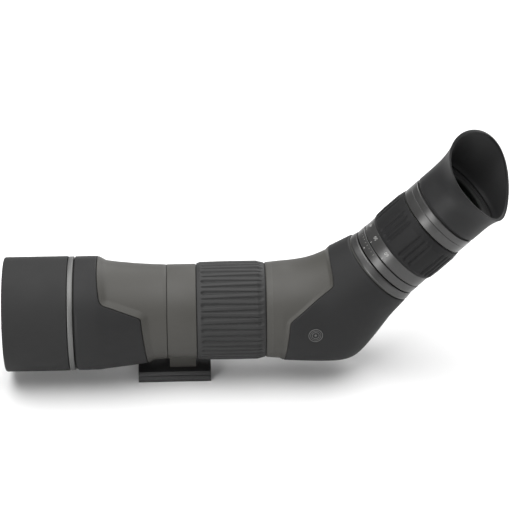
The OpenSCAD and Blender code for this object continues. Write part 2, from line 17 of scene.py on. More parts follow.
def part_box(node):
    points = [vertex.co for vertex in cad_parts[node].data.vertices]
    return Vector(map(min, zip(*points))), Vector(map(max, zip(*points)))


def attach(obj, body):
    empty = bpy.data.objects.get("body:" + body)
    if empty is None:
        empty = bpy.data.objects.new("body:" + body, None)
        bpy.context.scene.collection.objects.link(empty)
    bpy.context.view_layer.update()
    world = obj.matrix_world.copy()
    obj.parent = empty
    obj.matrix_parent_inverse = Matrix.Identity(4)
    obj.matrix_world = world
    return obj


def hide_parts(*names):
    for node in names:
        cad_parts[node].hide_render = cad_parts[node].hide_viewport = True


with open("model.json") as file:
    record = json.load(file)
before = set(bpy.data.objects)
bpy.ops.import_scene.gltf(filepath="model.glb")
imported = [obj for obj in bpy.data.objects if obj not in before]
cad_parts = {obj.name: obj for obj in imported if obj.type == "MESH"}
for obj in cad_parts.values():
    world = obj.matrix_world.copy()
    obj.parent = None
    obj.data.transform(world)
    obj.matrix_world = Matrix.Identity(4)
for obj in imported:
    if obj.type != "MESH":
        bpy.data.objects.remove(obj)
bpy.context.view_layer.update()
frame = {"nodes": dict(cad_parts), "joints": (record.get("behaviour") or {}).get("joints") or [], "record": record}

MM = 0.001
TURN = 2 * math.pi


# ---- axes and measures of the frame ----


class Line:
    """An axis. A point by it has a place t along it, a radius and an angle about it.

    90 degrees points along across, which is the far side unless stated. There 0 degrees points
    down, and on the eyepiece down and back.
    """

    def __init__(self, origin, along, across=(0, 1, 0)):
        self.origin = np.array(origin, float)
        self.along = np.array(along, float) / np.linalg.norm(along)
        side = across - (self.along @ across) * self.along
        self.across = side / np.linalg.norm(side)
        self.down = np.cross(self.across, self.along)

    def at(self, t, r, angle):
        t, r, angle = np.broadcast_arrays(t, r, angle)
        return (
            self.origin
            + t[..., None] * self.along
            + (r * np.cos(angle))[..., None] * self.down
            + (r * np.sin(angle))[..., None] * self.across
        )

    def reach(self, node):
        """(lowest t, highest t, smallest radius, largest radius) of a CAD node."""
        co = np.array([v.co for v in frame["nodes"][node].data.vertices]) / MM
        t = (co - self.origin) @ self.along
        off = co - self.origin - t[:, None] * self.along
        r = np.linalg.norm(off, axis=1)
        return t.min(), t.max(), r.min(), r.max()


def joint(name):
    return next(j for j in frame["joints"] if j["name"] == name)


focus_joint, zoom_joint = joint("focus_turn"), joint("zoom_turn")
AXIS_H = focus_joint["pos_m"][2] / MM
barrel = Line((0, 0, AXIS_H), (1, 0, 0))
zoom_pos = np.array(zoom_joint["pos_m"]) / MM
zoom_axis = np.array(zoom_joint["axis"])
ELBOW_X = zoom_pos[0] - (zoom_pos[2] - AXIS_H) * zoom_axis[0] / zoom_axis[2]
eyepiece = Line((ELBOW_X, 0, AXIS_H), zoom_axis)
EYE_ANGLE = math.atan2(zoom_axis[0], zoom_axis[2])


# ---- mesh building ----


def finish_mesh(name, body, slot_name, material, verts, faces, sharp=40, nodes=()):
    """Makes the piece in metres, smooth but for edges over the sharp angle."""
    mesh = bpy.data.meshes.new(name)
    mesh.from_pydata((np.asarray(verts) * MM).tolist(), [], faces)
    work = bmesh.new()
    work.from_mesh(mesh)
    bmesh.ops.remove_doubles(work, verts=work.verts, dist=1e-7)
    bmesh.ops.dissolve_degenerate(work, edges=work.edges, dist=1e-8)
    bmesh.ops.recalc_face_normals(work, faces=work.faces)
    work.to_mesh(mesh)
    work.free()
    mesh.shade_smooth()
    mesh.set_sharp_from_angle(angle=math.radians(sharp))
    piece = bpy.data.objects.new(name, mesh)
    bpy.context.scene.collection.objects.link(piece)
    mesh.materials.append(material)
    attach(piece, body)
    if nodes:
        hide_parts(*nodes)
    return piece


def torus_faces(rings, around, first=0):
    """Quads over a grid that closes on itself both ways."""
    i, j = np.meshgrid(np.arange(rings), np.arange(around), indexing="ij")
    i2, j2 = (i + 1) % rings, (j + 1) % around
    quads = np.stack([i * around + j, i * around + j2, i2 * around + j2, i2 * around + j], -1)
    return (quads.reshape(-1, 4) + first).tolist()


def rounded(outline, fillet, steps=4):
    """A closed outline of (r, t) or (r, t, own fillet) points with its corners rounded."""
    pts = [np.array(p[:2], float) for p in outline]
    out = []
    for k, p in enumerate(pts):
        size = outline[k][2] if len(outline[k]) > 2 else fillet
        a, b = pts[k - 1] - p, pts[(k + 1) % len(pts)] - p
        la, lb = np.linalg.norm(a), np.linalg.norm(b)
        cos = np.clip(a @ b / (la * lb), -1, 1)
        half = math.acos(cos) / 2
        if size <= 0 or half > math.radians(86):
            out.append(p)
            continue
        cut = min(size / math.tan(half), 0.45 * la, 0.45 * lb)
        start, end = p + a / la * cut, p + b / lb * cut
        for s in np.linspace(0, 1, steps + 1):
            out.append((1 - s) ** 2 * start + 2 * s * (1 - s) * p + s * s * end)
    return np.array(out)


def spread(outline, step):
    """The closed outline with long sides cut into steps."""
    out = []
    for p, q in zip(outline, np.roll(outline, -1, axis=0)):
        n = max(1, int(np.linalg.norm(q - p) / step))
        out += [p + (q - p) * s / n for s in range(n)]
    return np.array(out)


def turned(name, line, body, slot_name, material, outline, nodes=(), fillet=0.25, around=192,
           step=None, relief=None, sharp=50):
    """A turned piece. relief(t, angle, r) lowers or raises its surface in millimetres."""
    ring = rounded(outline, fillet)
    if step:
        ring = spread(ring, step)
    angle = np.arange(around) / around * TURN
    t, a = np.meshgrid(ring[:, 1], angle, indexing="ij")
    r = np.repeat(ring[:, :1], around, axis=1)
    if relief:
        r = r + relief(t, a, r)
    verts = line.at(t, r, a).reshape(-1, 3)
    return finish_mesh(name, body, slot_name, material, verts, torus_faces(len(ring), around),
                       sharp, nodes)


def smoothstep(low, high, x):
    s = np.clip((x - low) / (high - low), 0, 1)
    return s * s * (3 - 2 * s)


# ---- materials ----


def add(tree, kind, inputs=None, **settings):
    node = tree.nodes.new(kind)
    for key, value in settings.items():
        setattr(node, key, value)
    for key, value in (inputs or {}).items():
        node.inputs[key].default_value = value
    return node


def scaled_noise(tree, coords, scale, detail=4.0, stretch=None):
    """Noise at a scale per metre, drawn out along an axis if stretch is given."""
    noise = add(tree, "ShaderNodeTexNoise", {"Scale": scale, "Detail": detail, "Roughness": 0.6})
    source = coords
    if stretch:
        mapping = add(tree, "ShaderNodeMapping", {"Scale": stretch})
        tree.links.new(coords, mapping.inputs["Vector"])
        source = mapping.outputs["Vector"]
    tree.links.new(source, noise.inputs["Vector"])
    return noise.outputs["Fac"]


def blend_range(tree, value, low, high):
    node = add(tree, "ShaderNodeMapRange", {"From Min": 0.3, "From Max": 0.7, "To Min": low,
                                            "To Max": high})
    tree.links.new(value, node.inputs["Value"])
    return node.outputs["Result"]


def finish_of(name, colour, rough, metallic=0.0, tint=0.12, blotch=40, grain=2500, bump=0.00002,
              stretch=None, wear=0.0, wear_colour=(0.5, 0.5, 0.5), coat=0.0, sheen=0.0,
              specular=0.5):
    """A surface with blotches, fine grain, uneven gloss and worn edges.

    blotch and grain are noise scales per metre, and bump is the grain's height in metres.
    """
    material = bpy.data.materials.new(name)
    material.use_nodes = True
    tree = material.node_tree
    shader = tree.nodes["Principled BSDF"]
    shader.inputs["Metallic"].default_value = metallic
    shader.inputs["Specular IOR Level"].default_value = specular
    shader.inputs["Coat Weight"].default_value = coat
    shader.inputs["Coat Roughness"].default_value = 0.25
    shader.inputs["Sheen Weight"].default_value = sheen
    shader.inputs["Sheen Roughness"].default_value = 0.6
    coords = add(tree, "ShaderNodeTexCoord").outputs["Object"]
    large = scaled_noise(tree, coords, blotch, 5.0)
    fine = scaled_noise(tree, coords, grain, 3.0, stretch)
    ramp = add(tree, "ShaderNodeValToRGB")
    ramp.color_ramp.elements[0].position = 0.3
    ramp.color_ramp.elements[0].color = (*(c * (1 - tint) for c in colour), 1)
    ramp.color_ramp.elements[1].position = 0.7
    ramp.color_ramp.elements[1].color = (*(c * (1 + tint) for c in colour), 1)
    mix = add(tree, "ShaderNodeMath", {1: 0.35}, operation="MULTIPLY")
    tree.links.new(fine, mix.inputs[0])
    total = add(tree, "ShaderNodeMath", {1: 0.65}, operation="MULTIPLY_ADD")
    tree.links.new(large, total.inputs[0])
    tree.links.new(mix.outputs[0], total.inputs[2])
    tree.links.new(total.outputs[0], ramp.inputs["Fac"])
    surface = ramp.outputs["Color"]
    if wear:
        edge = add(tree, "ShaderNodeMapRange", {"From Min": 0.53, "From Max": 0.6,
                                                "To Max": wear})
        point = add(tree, "ShaderNodeNewGeometry").outputs["Pointiness"]
        tree.links.new(point, edge.inputs["Value"])
        broken = add(tree, "ShaderNodeMath", operation="MULTIPLY")
        tree.links.new(edge.outputs["Result"], broken.inputs[0])
        tree.links.new(scaled_noise(tree, coords, 600, 6.0), broken.inputs[1])
        worn = add(tree, "ShaderNodeMix", data_type="RGBA")
        worn.inputs[7].default_value = (*wear_colour, 1)
        tree.links.new(broken.outputs[0], worn.inputs[0])
        tree.links.new(surface, worn.inputs[6])
        surface = worn.outputs[2]
    tree.links.new(surface, shader.inputs["Base Color"])
    gloss = blend_range(tree, large, rough - 0.05, rough + 0.05)
    uneven = add(tree, "ShaderNodeMath", {1: 0.06, 2: 0.0}, operation="MULTIPLY_ADD")
    tree.links.new(fine, uneven.inputs[0])
    tree.links.new(gloss, uneven.inputs[2])
    tree.links.new(uneven.outputs[0], shader.inputs["Roughness"])
    relief = add(tree, "ShaderNodeBump", {"Strength": 1.0, "Distance": bump})
    tree.links.new(fine, relief.inputs["Height"])
    tree.links.new(relief.outputs["Normal"], shader.inputs["Normal"])
    return material


def glass(name, colour, coat_tint):
    """Coated optical glass: clear, with a faint tint that shows at a slant."""
    material = bpy.data.materials.new(name)
    material.use_nodes = True
    tree = material.node_tree
    shader = tree.nodes["Principled BSDF"]
    shader.inputs["Transmission Weight"].default_value = 1.0
    shader.inputs["IOR"].default_value = 1.5
    shader.inputs["Coat Weight"].default_value = 0.6
    shader.inputs["Coat Roughness"].default_value = 0.02
    shader.inputs["Coat Tint"].default_value = (*coat_tint, 1)
    coords = add(tree, "ShaderNodeTexCoord").outputs["Object"]
    dust = scaled_noise(tree, coords, 300, 6.0)
    tree.links.new(blend_range(tree, dust, 0.005, 0.03), shader.inputs["Roughness"])
    ramp = add(tree, "ShaderNodeValToRGB")
    ramp.color_ramp.elements[0].color = (*(c * 0.94 for c in colour), 1)
    ramp.color_ramp.elements[1].color = (*colour, 1)
    tree.links.new(dust, ramp.inputs["Fac"])
    tree.links.new(ramp.outputs["Color"], shader.inputs["Base Color"])
    return material


LOOKS = {
    "barrel_paint": finish_of("satin_grey_olive", (0.047, 0.0455, 0.041), 0.5, tint=0.03,
                              grain=5000, bump=0.000008, wear=0.12,
                              wear_colour=(0.2, 0.2, 0.19), specular=0.3),
    "armour_rubber": finish_of("moulded_armour", (0.0145, 0.0145, 0.0148), 0.55, tint=0.05,
                               grain=3500, bump=0.00002, specular=0.2),
    "hood_paint": finish_of("satin_black_hood", (0.0175, 0.0175, 0.0175), 0.62, tint=0.04,
                            grain=5000, bump=0.000008, wear=0.15,
                            wear_colour=(0.15, 0.15, 0.15), specular=0.2),
    "ring_metal": finish_of("turned_dark_silver", (0.12, 0.12, 0.118), 0.5, metallic=0.6,
                            tint=0.05, grain=1800, bump=0.000006, stretch=(6, 0.4, 0.4)),
    "eyepiece_metal": finish_of("turned_black_metal", (0.040, 0.0396, 0.0389), 0.31,
                                metallic=0.4, tint=0.05, grain=1500, bump=0.000008,
                                wear=0.25, wear_colour=(0.3, 0.3, 0.29), specular=0.7),
    "focus_rubber": finish_of("ribbed_grip_rubber", (0.025, 0.025, 0.025), 0.55, tint=0.05,
                              grain=3000, bump=0.00002, specular=0.25),
    "grip_rubber": finish_of("fluted_grip_rubber", (0.0115, 0.0115, 0.0118), 0.55, tint=0.05,
                             grain=3000, bump=0.00002, specular=0.15),
    "eyecup_rubber": finish_of("soft_cup_rubber", (0.013, 0.013, 0.0134), 0.48, tint=0.05,
                               grain=2500, bump=0.000015, specular=0.22),
    "seal_rubber": finish_of("seal_rubber", (0.008, 0.008, 0.008), 0.6, grain=3000,
                             specular=0.2),
    "guide_felt": finish_of("flocked_felt", (0.02, 0.02, 0.02), 0.9, tint=0.3, grain=6000,
                            bump=0.00008, sheen=0.2, specular=0.1),
    "foot_metal": finish_of("anodised_foot", (0.02, 0.02, 0.0203), 0.4, metallic=0.2,
                            tint=0.05, grain=4000, bump=0.000008, wear=0.35,
                            wear_colour=(0.25, 0.25, 0.25), specular=0.35),
    "knob_metal": finish_of("anodised_knob", (0.02, 0.02, 0.0203), 0.38, metallic=0.2,
                            tint=0.05, grain=4000, bump=0.000008, wear=0.35,
                            wear_colour=(0.25, 0.25, 0.25), specular=0.35),
    "inner_metal": finish_of("matt_black_inside", (0.012, 0.012, 0.012), 0.6, tint=0.1,
                             grain=4000, bump=0.00001, specular=0.3),
    "screw_steel": finish_of("screw_steel", (0.4, 0.4, 0.39), 0.28, metallic=1.0, tint=0.08,
                             grain=4000, bump=0.000006),
    "insert_steel": finish_of("insert_steel", (0.45, 0.44, 0.42), 0.3, metallic=1.0,
                              tint=0.08, grain=3000, bump=0.000006, stretch=(1, 1, 8)),
    "spring_steel": finish_of("spring_steel", (0.4, 0.4, 0.4), 0.25, metallic=1.0, tint=0.06,
                              grain=3000, bump=0.000006, stretch=(8, 1, 1)),
    "liner_plastic": finish_of("bearing_plastic", (0.6, 0.57, 0.49), 0.45, tint=0.05,
                               grain=2000),
    "mark_paint": finish_of("filled_mark_paint", (0.3, 0.3, 0.29), 0.5, tint=0.06,
                            grain=3000, bump=0.00001),
    "lens_glass": glass("coated_lens", (0.95, 0.98, 0.97), (0.75, 0.95, 0.8)),
    "prism_glass": glass("prism_block", (0.93, 0.97, 0.98), (0.9, 0.95, 1.0)),
}
SLOT_OF = {part["node"]: part["material_slot"] for part in frame["record"]["subparts"]}
BODY_OF = {
    node: body for body, nodes in frame["record"]["behaviour"]["bodies"].items() for node in nodes
}


def look(node):
    return LOOKS[SLOT_OF[node]]


def turned_for(node, line, outline, **options):
    """A turned piece that stands for one CAD node, on its body and in its finish."""
    return turned(node + "_skin", line, BODY_OF[node], SLOT_OF[node], look(node), outline,
                  nodes=(node,), **options)


for node_name, cad_object in frame["nodes"].items():
    cad_object.data.materials.clear()
    cad_object.data.materials.append(look(node_name))


# ---- hood and trim ring ----


def build_hood():
    front, back, bore, out = barrel.reach("lens_hood")
    inside = barrel.reach("hood_guide_ring")[3]
    edge, lip_depth, turn_in = 1.0, 2.6, 0.5
    fin_from, fin_to, pitch, depth = front + 5, back - 13, 1.6, 0.5

    def fins(t, _, r):
        inner = (r < inside + 0.3) & (t > fin_from) & (t < fin_to)
        return np.where(inner, -depth * np.abs(2 * ((t / pitch) % 1) - 1), 0)

    outline = [(bore, front, 0.5), (out - turn_in, front, 0.4), (out, front + edge, 0.9),
               (out, back, 0.25), (inside, back, 0.2), (inside, front + lip_depth + 1),
               (bore, front + lip_depth, 0.3)]
    turned_for("lens_hood", barrel, outline, around=256, step=0.4, relief=fins)


def build_trim_ring():
    front, back, bore, out = barrel.reach("trim_ring")
    slope, drop = 0.9, 0.15
    turned_for("trim_ring", barrel,
               [(bore, front), (out - drop, front, 0.25), (out, front + slope, 0.3),
                (out, back - slope, 0.3), (out - drop, back, 0.25), (bore, back)], around=256)


build_hood()
build_trim_ring()


# ---- skins with a raised edge between body and armour ----


def fillet_path(points, radii, steps=8):
    """An open path of (x, height) points with rounded corners."""
    pts = [np.array(p, float) for p in points]
    out = [pts[0]]
    for p, before, after, size in zip(pts[1:-1], pts[:-2], pts[2:], radii):
        a = (before - p) / np.linalg.norm(before - p)
        b = (after - p) / np.linalg.norm(after - p)
        out += [(1 - s) ** 2 * (p + a * size) + 2 * s * (1 - s) * p + s * s * (p + b * size)
                for s in np.linspace(0, 1, steps)]
    return np.array(out + [pts[-1]])


def edge_x(path, height):
    """The x of the armour's edge at each height above the barrel axis."""
    order = np.argsort(path[:, 1])
    return np.interp(height, path[order, 1], path[order, 0])


def crossing(surface, path, low, high, angle, sign=1):
    """For each angle, where along a skin it crosses the edge, by halving."""
    lo, hi = np.full(angle.shape, float(low)), np.full(angle.shape, float(high))
    for _ in range(30):
        mid = (lo + hi) / 2
        p = surface(mid, angle, 0.0)
        beyond = sign * (p[..., 0] - edge_x(path, p[..., 2] - AXIS_H)) > 0
        lo, hi = np.where(beyond, lo, mid), np.where(beyond, mid, hi)
    return (lo + hi) / 2


def gap_to(curve, points):
    """Distance of each point from a closed curve, in millimetres."""
    dense = []
    for p, q in zip(curve, np.roll(curve, -1, axis=0)):
        n = max(1, int(np.linalg.norm(q - p) / 0.15))
        dense += [p + (q - p) * s / n for s in range(n)]
    tree = KDTree(len(dense))
    for k, p in enumerate(dense):
        tree.insert(p, k)
    tree.balance()
    flat = points.reshape(-1, 3)
    return np.array([tree.find(p)[2] for p in flat]).reshape(points.shape[:-1])


SKIN_COLUMNS = 384
# Distances from the armour's edge, in millimetres, at which a skin has its close rows.
EDGE_STEPS = np.array([0, 0.15, 0.4, 0.7, 1, 1.4, 1.8, 2.3, 2.9, 3.6, 4.4, 5.4, 6.6, 8, 9.6])


def towards(start, end, scale, rest):
    """Places from start to end: close together near start, then even. One row per place."""
    span = end - start
    near = EDGE_STEPS[:, None] * scale * np.sign(span)
    share = np.minimum(EDGE_STEPS[:, None] * scale / np.maximum(np.abs(span), 1e-6), 1)
    near = np.where(share < 0.6, start + near, start + span * share)
    near = np.maximum.accumulate(near, 0) if np.all(span > 0) else near
    last = near[-1]
    steps = np.linspace(0, 1, rest + 1)[1:, None]
    return np.concatenate([near, last + (end - last) * steps])


def crest(gap, height, width):
    """The ramp that the painted body raises beside the armour."""
    brow = 0.3
    ramp = height * np.clip(1 - (gap - brow) / width, 0, 1)
    return np.where(gap < brow, height * (0.6 + 0.4 * smoothstep(0, brow, gap)), ramp)


def edge_roll(gap, height, width):
    """The rounded border of the armour: low at its edge and full height inside."""
    s = np.clip(gap / width, 0, 1)
    return height * np.sqrt(1 - (1 - s) ** 2 * 0.96)


def skin_piece(node, surface, rows, angle, outer, inner, sharp=60):
    """A closed shell over rows of places (one column per angle) with outer and inner rises."""
    a = np.broadcast_to(angle, rows.shape)
    top, under = surface(rows, a, outer), surface(rows, a, inner)
    grid = np.concatenate([top, under[::-1]])
    return finish_mesh(node + "_skin", BODY_OF[node], SLOT_OF[node], look(node),
                       grid.reshape(-1, 3), torus_faces(len(grid), len(angle)), sharp,
                       (node,))


def smooth_profile(points, step=0.5):
    """Radius at each x through the points, by an even cubic, as two arrays."""
    pts = np.array(points, float)
    x, r = pts[:, 0], pts[:, 1]
    slope = np.gradient(r, x)
    fine = np.arange(x[0], x[-1] + step / 2, step)
    k = np.clip(np.searchsorted(x, fine, side="right") - 1, 0, len(x) - 2)
    w = x[k + 1] - x[k]
    s = (fine - x[k]) / w
    return fine, ((2 * s**3 - 3 * s**2 + 1) * r[k] + (s**3 - 2 * s**2 + s) * w * slope[k]
                  + (3 * s**2 - 2 * s**3) * r[k + 1] + (s**3 - s**2) * w * slope[k + 1])


def lathe_surface(profile):
    """A skin turned about the barrel: place is x, and the angle is taken from the top."""

    def surface(x, angle, rise):
        r = np.interp(x, *profile) + rise
        return barrel.at(x, r, angle + math.pi)

    return surface


# ---- front housing and its armour ----

# (x, radius) along the barrel of the painted housing and of the armour over it.
HOUSING_PROFILE = [(-55, 36.5), (-52.5, 36.7), (-49.5, 36.5), (-46.5, 35.95), (-44, 35.4),
                   (-40, 34.8), (-32, 33.9), (-24, 33.1), (-16, 32.5), (-8, 32.1), (-5, 32)]
ARMOUR_PROFILE = [(-66.3, 38.55), (-61, 38.65), (-56, 38.65), (-51, 38.5), (-44, 37.6),
                  (-40, 37.2), (-32, 36.3), (-24, 35.4), (-16, 34.5), (-8, 33.7)]
# (x, height over the axis) along the armour's edge, from above the top to below the bottom.
FRONT_EDGE = fillet_path([(-51.9, 60), (-51.6, 35), (-49.3, 23.1), (-22.5, 13.4),
                          (-20, -9.5), (-14.8, -60)], (5, 3.4, 1.8, 4))
FRONT_EDGE_SPAN = (-54, -8)
RAMP_WIDTH = 4.4
FRONT_ROLL = 0.8


def build_front_housing():
    front, back, bore, _ = barrel.reach("front_housing")
    armour_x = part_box("front_armour")[0].x / MM
    tube_out, hidden_out, hidden_to = 35.6, 36.3, -54.5
    turned("front_tube_skin", barrel, BODY_OF["front_housing"], SLOT_OF["front_housing"],
           look("front_housing"),
           [(bore, front), (tube_out, front, 0.5), (tube_out, armour_x - 0.5),
            (hidden_out, armour_x - 0.4), (hidden_out, hidden_to), (bore, hidden_to)])
    profile, armour = smooth_profile(HOUSING_PROFILE), smooth_profile(ARMOUR_PROFILE)
    body = lathe_surface(profile)
    angle = np.arange(SKIN_COLUMNS) / SKIN_COLUMNS * TURN
    edge = crossing(body, FRONT_EDGE, *FRONT_EDGE_SPAN, angle)
    rows = np.concatenate([np.linspace(profile[0][0], edge - 0.2, 6),
                           towards(edge, np.full(edge.shape, back), 1.0, 26)])
    curve = body(edge, angle, 0.0)
    gap = gap_to(curve, body(rows, np.broadcast_to(angle, rows.shape), 0.0))
    lift = np.interp(rows, *armour) - np.interp(rows, *profile) - 0.15
    rise = np.where(rows < edge - 0.1, -0.3, crest(gap, lift, RAMP_WIDTH))
    rise = rise - 0.2 * smoothstep(back - 0.25, back, rows)
    inner = np.full(rows.shape, -2.0)
    skin_piece("front_housing", body, rows, angle, rise, inner)


def build_front_armour():
    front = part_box("front_armour")[0].x / MM
    profile = smooth_profile(HOUSING_PROFILE)
    body = lathe_surface(profile)
    angle = np.arange(SKIN_COLUMNS) / SKIN_COLUMNS * TURN
    edge = crossing(body, FRONT_EDGE, *FRONT_EDGE_SPAN, angle)
    rows = towards(edge - 0.1, np.full(edge.shape, front), 1.0, 26)
    curve = body(edge, angle, 0.0)
    gap = gap_to(curve, body(rows, np.broadcast_to(angle, rows.shape), 0.0))
    full = np.interp(rows, *smooth_profile(ARMOUR_PROFILE)) - np.interp(rows, *profile)
    roll = edge_roll(gap, 1.0, FRONT_ROLL) * edge_roll(rows - front, 1.0, 0.7)
    rise = full - (1 - roll) * np.minimum(full, 1.3)
    skin_piece("front_armour", body, rows, angle, rise, np.full(rows.shape, -0.25))


build_front_housing()
build_front_armour()


# ---- focus ring ----


def wedge_flutes(count, half_wide, half_narrow, depth, start, stop, fade):
    """Long soft valleys, in turn widest at the front and widest at the back."""

    def relief(t, angle, r):
        share = np.clip((t - start) / (stop - start), 0, 1)
        pitch = TURN / count
        index = np.round(angle / pitch)
        off = np.abs(angle - index * pitch) * r
        odd = np.mod(index, 2) > 0.5
        wide = np.where(odd, half_wide + (half_narrow - half_wide) * share,
                        half_narrow + (half_wide - half_narrow) * share)
        ends = smoothstep(0, fade, np.minimum(t - start, stop - t))
        bowl = np.clip(1 - (off / (wide * (0.4 + 0.6 * ends))) ** 2, 0, 1) ** 1.5
        return -depth * (0.35 + 0.65 * wide / half_wide) * ends * bowl

    return relief


def build_focus_ring():
    front, back, bore, out = barrel.reach("focus_grip")
    rib_count, front_rim, back_rim = 48, 1.8, 0.7
    valleys = wedge_flutes(rib_count, half_wide=2.0, half_narrow=0.7, depth=1.3,
                           start=front + front_rim, stop=back - back_rim, fade=2.6)

    def relief(t, angle, r):
        return np.where(r > out - 2.2, valleys(t, angle, r), 0)

    outline = [(bore, front), (out - 1.1, front, 0.15), (out - 0.25, front + 2.4, 1.0),
               (out, front + 18, 6), (out, back - 5.2, 2.0), (out - 1.3, back, 0.15),
               (bore, back)]
    turned_for("focus_grip", barrel, outline, around=rib_count * 16, step=0.7, relief=relief,
               sharp=70)


build_focus_ring()


# ---- rear housing, its armour and the badge ----

# The bend turns about a line across the scope at PIVOT_X, PIVOT_H over the barrel's axis. Radii
# run from the barrel's end through the bend to the eyepiece, whose top, low side and flanks differ.
PIVOT_X, PIVOT_H = 72, 75
START_R, BEND_R = 32.6, 33.2
SLOPE_TOP, SLOPE_LOW, SLOPE_SIDE = 32, 28.4, 29.4
END_TOP, END_LOW, END_SIDE = 27.6, 26.7, 27.1
HEEL_POWER, HEEL_DROP, HEEL_TURN, HEEL_LEAN, BEND_FULLNESS = 22, 2.2, 24, 0.2, 0.12
REAR_EDGE = fillet_path([(69.5, -60), (74.3, -19), (76.2, -1), (77.3, 9), (106.1, 31.1),
                         (105.9, 36), (104, 45), (102, 60)], (5, 4, 1.6, 1.6, 2, 4))
REAR_RAMP = 2.2
REAR_ROLL = 1.0
LEAN = 0.6
ARMOUR_TO = 2.97
BEND_EXIT = (PIVOT_X - ELBOW_X + PIVOT_H) * math.sin(EYE_ANGLE)
PIVOT_TO_EYE = (ELBOW_X - PIVOT_X + PIVOT_H) * math.sin(EYE_ANGLE)
SHELL_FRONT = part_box("rear_housing")[0].x / MM
SHELL_END = eyepiece.reach("rear_housing")[1]


def elbow_section(s):
    """(x, height over the axis, tilt, half height, half width, power) along the elbow.

    s runs from 0 to 1 on the straight lead, to 2 through the bend and to 3 up the slope.
    """
    lead, turn, slope = (np.clip(s - k, 0, 1) for k in range(3))
    a = EYE_ANGLE * turn
    square = turn**2
    near = PIVOT_H - BEND_R + (PIVOT_TO_EYE - SLOPE_TOP - PIVOT_H + BEND_R) * square
    floor = (PIVOT_H + BEND_R + HEEL_DROP * np.degrees(a) / HEEL_TURN) / np.cos(a)
    rest = EYE_ANGLE - a
    behind = (PIVOT_TO_EYE + SLOPE_LOW) / (np.cos(rest) - HEEL_LEAN * np.sin(rest))
    far = (floor**-HEEL_POWER + behind**-HEEL_POWER) ** (-1 / HEEL_POWER)
    mid = (near + far) / 2
    side = BEND_R + (SLOPE_SIDE - BEND_R) * square
    bend = (PIVOT_X + mid * np.sin(a), PIVOT_H - mid * np.cos(a), a, (far - near) / 2, side,
            2 + BEND_FULLNESS * np.sin(4 * a))
    lead_r = START_R + (BEND_R - START_R) * lead
    straight = (SHELL_FRONT + (PIVOT_X - SHELL_FRONT) * lead, 0 * s, 0 * s, lead_r, lead_r,
                2 + 0 * s)
    t = BEND_EXIT + (SHELL_END - BEND_EXIT) * slope
    top = SLOPE_TOP + (END_TOP - SLOPE_TOP) * slope
    low = SLOPE_LOW + (END_LOW - SLOPE_LOW) * slope
    off = (top - low) / 2
    last = (ELBOW_X + (t - off) * math.sin(EYE_ANGLE), (t + off) * math.cos(EYE_ANGLE),
            EYE_ANGLE + 0 * s, (top + low) / 2, SLOPE_SIDE + (END_SIDE - SLOPE_SIDE) * slope,
            2 + 0 * s)
    return [np.where(s < 1, p, np.where(s < 2, q, r)) for p, q, r in zip(straight, bend, last)]


def elbow(s, angle, rise):
    """A point of the elbow's skin at a station and an angle from the top."""
    s, angle = np.broadcast_arrays(np.asarray(s, float), angle)
    x, h, tilt, high, wide, power = elbow_section(s)
    cos, sin = np.cos(angle), np.sin(angle)
    up = (high + rise) * np.sign(cos) * np.abs(cos) ** (2 / power)
    side = (wide + rise) * np.sign(sin) * np.abs(sin) ** (2 / power)
    return np.stack([x - up * np.sin(tilt), side, AXIS_H + h + up * np.cos(tilt)], -1)


def leaned(s, angle, rise):
    """The elbow's skin by columns that lean down through the bend and so cross the edge."""
    return elbow(s, angle + LEAN * np.clip(s - 1, 0, 1) * np.sin(angle), rise)


def build_rear_housing():
    angle = np.arange(SKIN_COLUMNS) / SKIN_COLUMNS * TURN
    edge = crossing(leaned, REAR_EDGE, 0, 3, angle)
    full = 0.8 * (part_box("rear_armour")[1].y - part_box("rear_housing")[1].y) / MM
    back_rows = np.linspace(edge + 0.02, 3, 40)
    rows = np.concatenate([towards(edge, np.zeros(edge.shape), 0.02, 16)[::-1], back_rows])
    curve = leaned(edge, angle, 0.0)
    gap = gap_to(curve, leaned(rows, np.broadcast_to(angle, rows.shape), 0.0))
    rise = np.where(rows > edge + 0.001, -0.1, crest(gap, full, REAR_RAMP))
    skin_piece("rear_housing", leaned, rows, angle, rise, np.full(rows.shape, -1.6))


def build_rear_armour():
    angle = np.arange(SKIN_COLUMNS) / SKIN_COLUMNS * TURN
    edge = crossing(leaned, REAR_EDGE, 0, 3, angle)
    thick = (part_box("rear_armour")[1].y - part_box("rear_housing")[1].y) / MM
    rows = towards(edge, np.full(edge.shape, ARMOUR_TO), 0.022, 70)
    curve = leaned(edge, angle, 0.0)
    gap = gap_to(curve, leaned(rows, np.broadcast_to(angle, rows.shape), 0.0))
    rise = 0.05 + (thick - 0.05) * edge_roll(gap, 1.0, REAR_ROLL)
    rise *= edge_roll((ARMOUR_TO - rows) * 14, 1.0, 0.8)
    return skin_piece("rear_armour", leaned, rows, angle, rise, np.full(rows.shape, -0.02))


